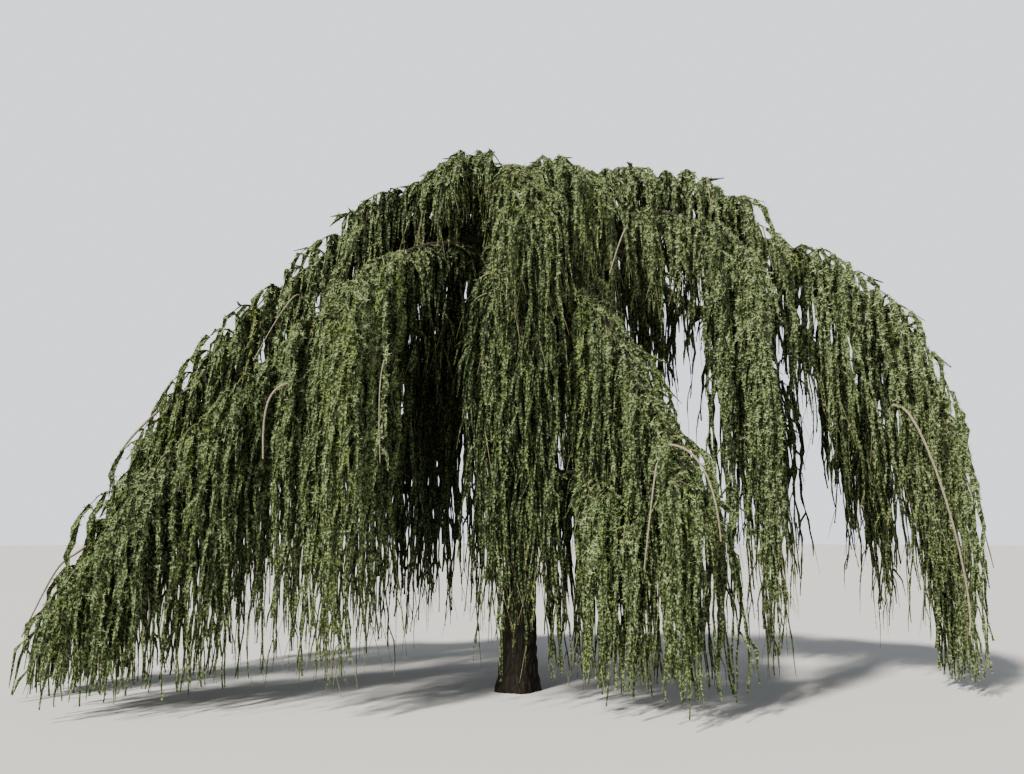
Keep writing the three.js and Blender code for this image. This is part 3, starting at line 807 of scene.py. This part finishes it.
def grow_on_bare_part(bough, random):
    """Shorter branchlets that clothe the limb before its mass begins."""
    line = lines[bough.name]
    for share in np.arange(FRINGE_FROM * bough.bare, bough.bare, BARE_PART_STEP / line.length):
        drift = random.uniform(*BARE_PART_DRIFTS) * any_way(random)
        grow_branchlet(bough, line.at(share), drift, BARE_PART_HANG, random)


for number, bough in enumerate(BOUGHS):
    random = np.random.default_rng(GROWTH_SEED + number)
    for share, turn, size in side_twigs(bough, number, random):
        grow_twig(bough, share, turn, size, random)
    grow_on_limb(bough, random)
    if bough.name not in OPEN_LIMBS:
        grow_on_bare_part(bough, random)

tubes, inputs = growing_tree("twig_tubes", {"Sides": "Int", "Radius": "Float", "Bark": "Material"})
rails = tubes.node("GeometryNodeMeshToCurve", {}, [inputs["Geometry"]])
section = tubes.node("GeometryNodeCurvePrimitiveCircle", {}, {"Resolution": inputs["Sides"], "Radius": 1.0})
thickness = named(tubes, "girth", "FLOAT") * inputs["Radius"]
wood = tubes.node(
    "GeometryNodeCurveToMesh",
    {},
    {"Curve": rails, "Profile Curve": section, "Scale": thickness, "Fill Caps": True},
)
end_tree(tubes, wood, inputs["Bark"])


def masses(side):
    """The names of the solid masses on one side of the tree."""
    return [bough.name + "_foliage" for bough in BOUGHS if bough.side == side]


twig_bark = bark_finish("twig_bark", TWIG_PLATES, TWIG_FISSURES, *FINE_BARK)
for place in SIDES_OF_TREE:
    twigs = Lines()
    for shoot in growth:
        if shoot.bough.side == place and shoot.kind in TWIG_THICKNESS:
            taper = 1 - TWIG_TAPER * np.linspace(0, 1, len(shoot.points))
            twigs.add(shoot.points, TWIG_THICKNESS[shoot.kind] * taper)
    sizes = {"Sides": TWIG_SIDES, "Radius": TWIG_RADIUS, "Bark": twig_bark}
    piece = grown("twigs_" + place, twigs.mesh("twigs"), tubes, sizes)
    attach(piece, "root")
    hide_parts(*masses(place))


# The bare limbs: a few young limbs that lost their needles and stand out pale before their masses. Their
# bark is smooth and light tan, partly painted sunlight, and each bends down under its own weight in one even
# curve.
LIMB_SIDES = 8
LIMB_POINTS = 14
LIMB_TAPER = 0.45
# Light tan bark, lightened partly as painted sunlight
PALE_WOOD_WITH_PAINTED_SUNLIGHT = (0.4, 0.34, 0.25)
PALE_CRACKS_WITH_PAINTED_SUNLIGHT = (0.2, 0.165, 0.115)
# The radius of each at its root, and points that its line runs through
PALE_LIMBS = [
    (0.013, [(-1.78, -0.85, 2.76), (-1.9, -1.15, 2.63), (-2.03, -1.22, 2.49), (-2.05, -1.25, 2.0)]),
    (0.017, [(-3.05, -0.2, 2.74), (-3.18, -0.33, 2.6), (-3.45, -0.4, 2.3), (-3.62, -0.35, 2.02)]),
    (0.013, [(-3.85, -0.2, 1.35), (-4.01, -0.3, 1.19), (-4.14, -0.3, 1.04), (-4.38, -0.3, 0.5)]),
    (0.01, [(-3.1, -0.75, 1.5), (-3.38, -1.0, 1.37), (-3.54, -1.05, 1.13), (-3.6, -1.05, 0.85)]),
    (0.01, [(-3.25, -0.9, 1.44), (-3.08, -1.1, 1.25), (-2.94, -1.15, 0.88), (-2.99, -1.15, 0.6)]),
    (0.007, [(-2.0, -0.4, 3.55), (-2.07, -0.6, 3.45), (-2.31, -0.75, 2.9)]),
    (0.006, [(-1.07, -1.1, 2.9), (-1.09, -1.45, 2.6), (-1.07, -1.5, 1.95)]),
    (0.008, [(1.0, -0.75, 4.1), (0.92, -0.95, 3.98), (0.79, -1.05, 3.6)]),
    (0.008, [(1.1, -1.4, 1.95), (1.01, -1.75, 1.75), (0.92, -1.8, 1.15)]),
    (0.01, [(1.2, -1.4, 2.1), (1.35, -1.65, 1.98), (1.45, -1.75, 1.72), (1.5, -1.75, 1.35)]),
    (0.013, [(3.42, -0.25, 2.5), (3.58, -0.55, 2.28), (3.8, -0.62, 1.33), (3.84, -0.62, 0.55)]),
    (0.009, [(3.93, -0.2, 2.55), (4.03, -0.35, 1.98), (4.13, -0.38, 1.56), (4.22, -0.38, 1.1)]),
]

pale_bark = bark_finish("pale_bark", PALE_WOOD_WITH_PAINTED_SUNLIGHT, PALE_CRACKS_WITH_PAINTED_SUNLIGHT, *FINE_BARK)
bare_lines = Lines()
for radius, points in PALE_LIMBS:
    stops = np.linspace(0, 1, len(points))
    onward = np.linspace(0, 1, LIMB_POINTS)
    bends = np.vander(onward, len(points)) @ np.linalg.solve(np.vander(stops), np.array(points))
    bare_lines.add(bends, radius * (1 - LIMB_TAPER * onward))
sizes = {"Sides": LIMB_SIDES, "Radius": 1.0, "Bark": pale_bark}
bare_limbs = grown("bare_limbs", bare_lines.mesh("bare_limbs"), tubes, sizes)
bare_limbs.data.polygons.foreach_set("use_smooth", [True] * len(bare_limbs.data.polygons))
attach(bare_limbs, "root")


# The branchlets: shoots packed with needles that hang like ropes, painted dark where the light doesn't
# reach. Each is a three-edged rope whose edges stand out in turn as short side shoots that point on down it.
ROPE_SEED = 3
ROPE_SIDES = 3
ROPE_STEP = 0.12
ROPE_RADIUS = 0.016
ROPE_TURN = math.radians(41)
ROPE_ROOT_GIRTH = 0.75
ROPE_SWELL = 1.5
ROPE_TIP_GIRTH = 0.25
ROPE_THINNING = 1.2
SIDE_SHOOT = 0.025
SIDE_SHOOT_LEAN = 0.014
SIDE_SHOOT_SIZES = (0.4, 1.4)
PACKED_ROUGHNESS = 0.75
PACKED_BUMP = 0.012
PACKED_STRENGTH = 0.8
SPECK = 0.022
BREAKS_PER_SPECK = 1.5
SPECK_SHARE = 0.7
BREAK_SHARE = 0.6
SPECK_EDGES = (0.75, 0.45)
# Packed needles: the painted shade between them and the colour of their points, outside and inside
OUTER_SHADE_BETWEEN = (0.024, 0.033, 0.011)
OUTER_LIT = (0.2, 0.26, 0.105)
# The inner pair is a darker copy of the outer pair: painted shade
INNER_SHADE_BETWEEN = (0.006, 0.01, 0.003)
INNER_PAINTED_SHADE_NEEDLES = (0.12, 0.165, 0.06)

# The needles' shades, and the share of each in the branchlets of each side of the tree
SHADES = {
    # deep: near-black needles put where the crown's own shade falls
    "deep": (0.022, 0.036, 0.012),
    "blue": (0.215, 0.295, 0.138),
    "green": (0.205, 0.27, 0.072),
    # pale: partly the needles' own lighter grey-green, partly painted sunlight in the sunlit crown
    "pale": (0.35, 0.425, 0.215),
    "gold": (0.33, 0.35, 0.09),
}
SHADE_SHARES = {
    "left": (0.1, 0.48, 0.33, 0.08, 0.01),
    "front": (0.14, 0.36, 0.36, 0.13, 0.01),
    "right": (0.03, 0.26, 0.26, 0.44, 0.01),
    "back": (0.2, 0.38, 0.35, 0.06, 0.01),
}
SHADE_SEED = 7
# A shade's number is its place in SHADES. Branchlets inside the curtains carry no needles of their own
INSIDE = -1
PAINTED_SHADE = 0
BLUE = 1
PALE = 3
GOLD = 4
# A dim fringe hangs in a hollow's shade and takes the painted shade
KIND_SHADES = {"inner": INSIDE, "dim fringe": PAINTED_SHADE, "young": GOLD}
# The dark hollow behind the trunk: its radius and height, and how much of the growth in it takes the painted
# shade
HOLLOW_REACH = 1.5
HOLLOW_HEIGHT = 4.2
HOLLOW_PAINTED_SHADE = 0.93
# Places beside the trunk that take the same painted shade: least and most x, least y, and most height
SHADY_PLACES = [
    (-1.25, -0.3, -0.7, 4.5),
    (-0.78, -0.3, -1.05, 4.5),
    (-1, -0.3, -1.05, 3.3),
    (0.36, 0.7, -0.75, 3.3),
]
# The curtain before the trunk, in the crown's own shade: half its width, its height, and its share in
# painted shade
CURTAIN_WIDTH = 0.55
CURTAIN_HEIGHT = 3.7
CURTAIN_PAINTED_SHADE = 0.5
# The height from which the crown is sunlit on each side, and how much of its thatch and of the rest is pale,
# as painted sunlight
SUNLIT_HEIGHT = {"left": 2.95, "front": 2.4, "right": 2.3, "back": 2.6}
SUNLIT_THATCH = 0.9
SUNLIT_SHARE = {"left": 0.65, "front": 0.25, "right": 0.75, "back": 0.3}


def packed_needles(name, shade_between, lit):
    """Needles packed too close to tell apart: pale points of needles over painted shade between them."""
    finish, graph, shader = finish_graph(name, lit, PACKED_ROUGHNESS)
    place = graph.node("ShaderNodeTexCoord").other("Object")
    cells = graph.node("ShaderNodeTexVoronoi", {"feature": "F1"}, {"Vector": place, "Scale": 1 / SPECK})
    breaks = graph.noise(place, BREAKS_PER_SPECK / SPECK, 2.0)
    points = (cells * SPECK_SHARE + breaks * BREAK_SHARE).between(*SPECK_EDGES)
    graph.mix(points, (*shade_between, 1), (*lit, 1)).into(shader, "Base Color")
    bump = {"Strength": PACKED_STRENGTH, "Distance": PACKED_BUMP, "Height": points}
    graph.node("ShaderNodeBump", {}, bump).into(shader, "Normal")
    return finish


def stored(graph, geometry, name, kind, value):
    """The geometry with a value kept on each of its points under a name."""
    settings = {"data_type": kind, "domain": "POINT"}
    values = {"Geometry": geometry, "Name": name, "Value": value}
    return graph.node("GeometryNodeStoreNamedAttribute", settings, values)


def thrown(graph, sizes, seed):
    """A random number for each point, from the least to the most of the sizes."""
    return graph.node("FunctionNodeRandomValue", {}, {2: sizes[0], 3: sizes[1], "Seed": seed}, 1)


rope_inputs = {"Step": "Float", "Turn": "Float", "Radius": "Float", "Side shoot": "Float", "Lean": "Float"}
ropes, inputs = growing_tree("branchlet_ropes", {**rope_inputs, "Seed": "Int", "Needles": "Material"})
rails = ropes.node("GeometryNodeMeshToCurve", {}, [inputs["Geometry"]])
by_length = {"Curve": rails, "Length": inputs["Step"]}
rails = ropes.node("GeometryNodeResampleCurve", {"mode": "LENGTH"}, by_length)
index = ropes.node("GeometryNodeInputIndex")
rails = ropes.node("GeometryNodeSetCurveTilt", {}, {"Curve": rails, "Tilt": index * inputs["Turn"]})
rails = stored(ropes, rails, "ring", "FLOAT", index * 1.0)
rails = stored(ropes, rails, "heart", "FLOAT_VECTOR", ropes.node("GeometryNodeInputPosition"))
rails = stored(ropes, rails, "onward", "FLOAT_VECTOR", ropes.node("GeometryNodeInputTangent"))
section = ropes.node("GeometryNodeCurvePrimitiveCircle", {}, {"Resolution": ROPE_SIDES, "Radius": 1.0})
section = stored(ropes, section, "edge", "FLOAT", ropes.node("GeometryNodeInputIndex") * 1.0)
girth = named(ropes, "girth", "FLOAT")
rope = ropes.node(
    "GeometryNodeCurveToMesh",
    {},
    {"Curve": rails, "Profile Curve": section, "Scale": inputs["Radius"] * girth, "Fill Caps": True},
)
in_turn = (named(ropes, "ring", "FLOAT") + named(ropes, "edge", "FLOAT")) % 2
stretch = in_turn * thrown(ropes, SIDE_SHOOT_SIZES, inputs["Seed"])
heart = named(ropes, "heart", "FLOAT_VECTOR")
outward = ropes.vector("SUBTRACT", ropes.node("GeometryNodeInputPosition"), heart)
reach = ropes.scaled(outward, stretch * inputs["Side shoot"] / inputs["Radius"])
lean = ropes.scaled(named(ropes, "onward", "FLOAT_VECTOR"), stretch * girth * inputs["Lean"])
shot = {"Geometry": rope, "Offset": ropes.vector("ADD", reach, lean)}
rope = ropes.node("GeometryNodeSetPosition", {}, shot)
rope = ropes.node("GeometryNodeSetShadeSmooth", {}, {"Geometry": rope, "Shade Smooth": False})
end_tree(ropes, rope, inputs["Needles"])


def shade_number(line, random):
    """The number of a branchlet's shade: by its kind, by its place, with painted shade in the crown's shade
    and painted sunlight where it is sunlit, or else by its side.
    """
    if line.kind in KIND_SHADES:
        return KIND_SHADES[line.kind]
    side = line.bough.side
    x, y, height = line.points[len(line.points) // 2]
    in_hollow = side == "back" and math.hypot(x, y) < HOLLOW_REACH and height < HOLLOW_HEIGHT
    for left, right, front, top in SHADY_PLACES:
        in_hollow = in_hollow or (left < x < right and y > front and height < top)
    # Growth in the hollows and shady places mostly takes the painted shade, and so does half the curtain
    if in_hollow and random.uniform(0, 1) < HOLLOW_PAINTED_SHADE:
        return PAINTED_SHADE
    before_trunk = abs(x) < CURTAIN_WIDTH and height < CURTAIN_HEIGHT and y < 0
    if before_trunk and random.uniform(0, 1) < CURTAIN_PAINTED_SHADE:
        return PAINTED_SHADE
    sunlit = SUNLIT_THATCH if line.kind == "thatch" else SUNLIT_SHARE[side]
    # Pale needles high in the sunlit crown: painted sunlight
    if height > SUNLIT_HEIGHT[side] and not before_trunk and random.uniform(0, 1) < sunlit:
        return PALE
    return random.choice(len(SHADES), p=SHADE_SHARES[side])


def girths_along(count):
    """A branchlet's girth at each of its points: it swells from its root and thins to its tip."""
    onward = np.linspace(0, 1, count)
    swelling = np.minimum(ROPE_ROOT_GIRTH + ROPE_SWELL * onward, 1)
    return np.minimum(swelling, ROPE_TIP_GIRTH + ROPE_THINNING - ROPE_THINNING * onward)


def rope_title(shade):
    """Branchlets in painted shade and inner branchlets make pieces of their own."""
    return "inner_branchlets_" if shade <= PAINTED_SHADE else "branchlets_"


# Inner and painted-shade branchlets take a darker copy of the packed needles: painted shade
rope_finishes = {
    "branchlets_": packed_needles("outer_needles", OUTER_SHADE_BETWEEN, OUTER_LIT),
    "inner_branchlets_": packed_needles("inner_needles", INNER_SHADE_BETWEEN, INNER_PAINTED_SHADE_NEEDLES),
}
rope_sizes = {
    "Step": ROPE_STEP,
    "Turn": ROPE_TURN,
    "Radius": ROPE_RADIUS,
    "Side shoot": SIDE_SHOOT,
    "Lean": SIDE_SHOOT_LEAN,
    "Seed": ROPE_SEED,
}
shade_random = np.random.default_rng(SHADE_SEED)
rope_pieces = {}
for place in SIDES_OF_TREE:
    kept = {title: Lines() for title in rope_finishes}
    for shoot in growth:
        if shoot.bough.side == place and shoot.girth:
            shade = shade_number(shoot, shade_random)
            kept[rope_title(shade)].add(shoot.points, shoot.girth * girths_along(len(shoot.points)), shade)
    for title, branchlets in kept.items():
        sizes = {**rope_sizes, "Needles": rope_finishes[title]}
        piece = grown(title + place, branchlets.mesh("branchlets"), ropes, sizes)
        rope_pieces[title + place] = piece
        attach(piece, "root")
        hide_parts(*masses(place))


# The needles: tufts of stiff needles on short spurs, standing out all over the branchlets. They are
# blue-green to grey-green, and yellow-green on the youngest shoots. Near-black tufts are painted shade, and
# pale ones are partly painted sunlight.
TUFT_NEEDLES = 5
NEEDLE_LENGTH = 0.036
NEEDLE_WIDTH = 0.0068
SPUR = 0.004
LEAST_OPENING = math.radians(45)
MOST_OPENING = math.radians(80)
TUFT_LEAN = 0.5
TUFT_SIZES = (0.65, 1.2)
TUFT_DENSITY = {"left": 430, "front": 430, "right": 500, "back": 230}
# Tufts in painted shade stand sparser
PAINTED_SHADE_DENSITY = 0.35
# A tuft's size on a branchlet of no girth, and what a full branchlet's girth adds to it
TUFT_BASE = 0.5
TUFT_BY_GIRTH = 0.6
FIRST_TUFT_SEED = 5
NEEDLE_ROUGHNESS = 0.7
BLOOM_SCALE = 14.0
BLOOM_EDGES = (0.35, 0.65)
BLOOM = 0.25
# Tufts on the limbs: the share of the bare part without any, the girth that sizes them, and how many bands
# of shade run along a limb
LIMB_TUFTS_FROM = 0.25
LIMB_GIRTH = 0.7
LIMB_BANDS = 40


def needle_finish(name, colour):
    """Needles in one plain shade with a faint bloom of lighter and darker patches."""
    finish, graph, shader = finish_graph(name, colour, NEEDLE_ROUGHNESS)
    place = graph.node("ShaderNodeTexCoord").other("Object")
    patches = graph.noise(place, BLOOM_SCALE, 3.0)
    dark = tuple((1 - BLOOM) * c for c in colour)
    pale = tuple((1 + BLOOM) * c for c in colour)
    graph.mix(patches.between(*BLOOM_EDGES), (*dark, 1), (*pale, 1)).into(shader, "Base Color")
    return finish


def tuft_mesh(name):
    """One tuft, opening along +Z: each needle is a thin pointed blade."""
    root = SPUR * UP
    corners = []
    for i in range(TUFT_NEEDLES):
        heading = 2 * math.pi * i / TUFT_NEEDLES
        opening = MOST_OPENING if i % 2 else LEAST_OPENING
        way = math.sin(opening) * level_way(heading) + math.cos(opening) * UP
        half_width = level_way(heading + math.pi / 2) * NEEDLE_WIDTH / 2
        corners += [root - half_width, root + half_width, root + way * NEEDLE_LENGTH]
    mesh = bpy.data.meshes.new(name)
    mesh.from_pydata(corners, [], [(3 * i, 3 * i + 1, 3 * i + 2) for i in range(TUFT_NEEDLES)])
    return mesh


def keep_on_limb(limb, title, values):
    """Keeps a value for each ring of a limb on all its points."""
    kept = limb.data.attributes.new(title, "FLOAT", "POINT")
    kept.data.foreach_set("value", np.repeat(values, BOUGH_SIDES).astype(np.float32))


tuft_inputs = {"Tuft": "Object", "Limbs": "Collection", "Density": "Float", "Shade": "Float"}
tufts, inputs = growing_tree("needle_tufts", {**tuft_inputs, "Seed": "Int", "Needles": "Material"})
limbs_too = tufts.node("GeometryNodeCollectionInfo", {}, {"Collection": inputs["Limbs"]})
limbs_too = tufts.node("GeometryNodeRealizeInstances", {}, [limbs_too])
carriers = tufts.node("GeometryNodeJoinGeometry", {}, [limbs_too])
inputs["Geometry"].into(carriers.socket.node, 0)
own_shade = named(tufts, "shade", "FLOAT")
in_shade = own_shade.math("COMPARE", own_shade, inputs["Shade"], 0.5)
spurs = tufts.node(
    "GeometryNodeDistributePointsOnFaces",
    {},
    {"Mesh": carriers, "Selection": in_shade, "Density": inputs["Density"], "Seed": inputs["Seed"]},
)
spin = tufts.node(
    "FunctionNodeRandomValue",
    {"data_type": "FLOAT_VECTOR"},
    {0: (-TUFT_LEAN, -TUFT_LEAN, 0), 1: (TUFT_LEAN, TUFT_LEAN, 2 * math.pi), "Seed": inputs["Seed"]},
)
turned = tufts.node(
    "FunctionNodeRotateRotation",
    {"rotation_space": "LOCAL"},
    {"Rotation": spurs.other("Rotation"), "Rotate By": spin},
)
size = thrown(tufts, TUFT_SIZES, inputs["Seed"])
by_girth = named(tufts, "girth", "FLOAT") * TUFT_BY_GIRTH + TUFT_BASE
shape = tufts.node("GeometryNodeObjectInfo", {}, {"Object": inputs["Tuft"]}, "Geometry")
needles = tufts.node(
    "GeometryNodeInstanceOnPoints",
    {},
    {"Points": spurs, "Instance": shape, "Rotation": turned, "Scale": size * by_girth},
)
end_tree(tufts, needles, inputs["Needles"])

tuft = bpy.data.objects.new("tuft", tuft_mesh("tuft"))
needle_finishes = {shade: needle_finish("needles_" + shade, colour) for shade, colour in SHADES.items()}
needle_pieces = []
for place in SIDES_OF_TREE:
    leafy_limbs = bpy.data.collections.new("leafy_limbs_" + place)
    for bough in BOUGHS:
        if bough.side == place:
            limb = limbs[bough.name]
            shares = np.linspace(0, 1, len(limb.data.vertices) // BOUGH_SIDES)
            bands = BLUE + (shares * LIMB_BANDS).astype(int) % 3
            limb_shades = np.where(shares < LIMB_TUFTS_FROM * bough.bare, INSIDE, bands)
            # The stretch of an open limb in a hollow's shade gets tufts in painted shade
            if bough.name in OPEN_LIMBS:
                limb_shades[shares < OPEN_LIMBS[bough.name]] = PAINTED_SHADE
            keep_on_limb(limb, "shade", limb_shades)
            keep_on_limb(limb, "girth", np.full(len(shares), LIMB_GIRTH))
            leafy_limbs.objects.link(limb)
    for number, shade in enumerate(SHADES):
        sizes = {
            "Tuft": tuft,
            "Limbs": leafy_limbs,
            "Density": TUFT_DENSITY[place] * (PAINTED_SHADE_DENSITY if number == PAINTED_SHADE else 1),
            "Shade": float(number),
            "Seed": FIRST_TUFT_SEED + number,
            "Needles": needle_finishes[shade],
        }
        carrier = rope_pieces[rope_title(number) + place]
        piece = grown(f"needles_{place}_{shade}", carrier.data.copy(), tufts, sizes)
        needle_pieces.append(piece)
        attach(piece, "root")
        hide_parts(*masses(place))


# The finished tree: its meshes let go of the values that they were grown by.
for piece in [*limbs.values(), *rope_pieces.values(), *needle_pieces]:
    drop_values(piece.data, ("girth", "shade", "id"))
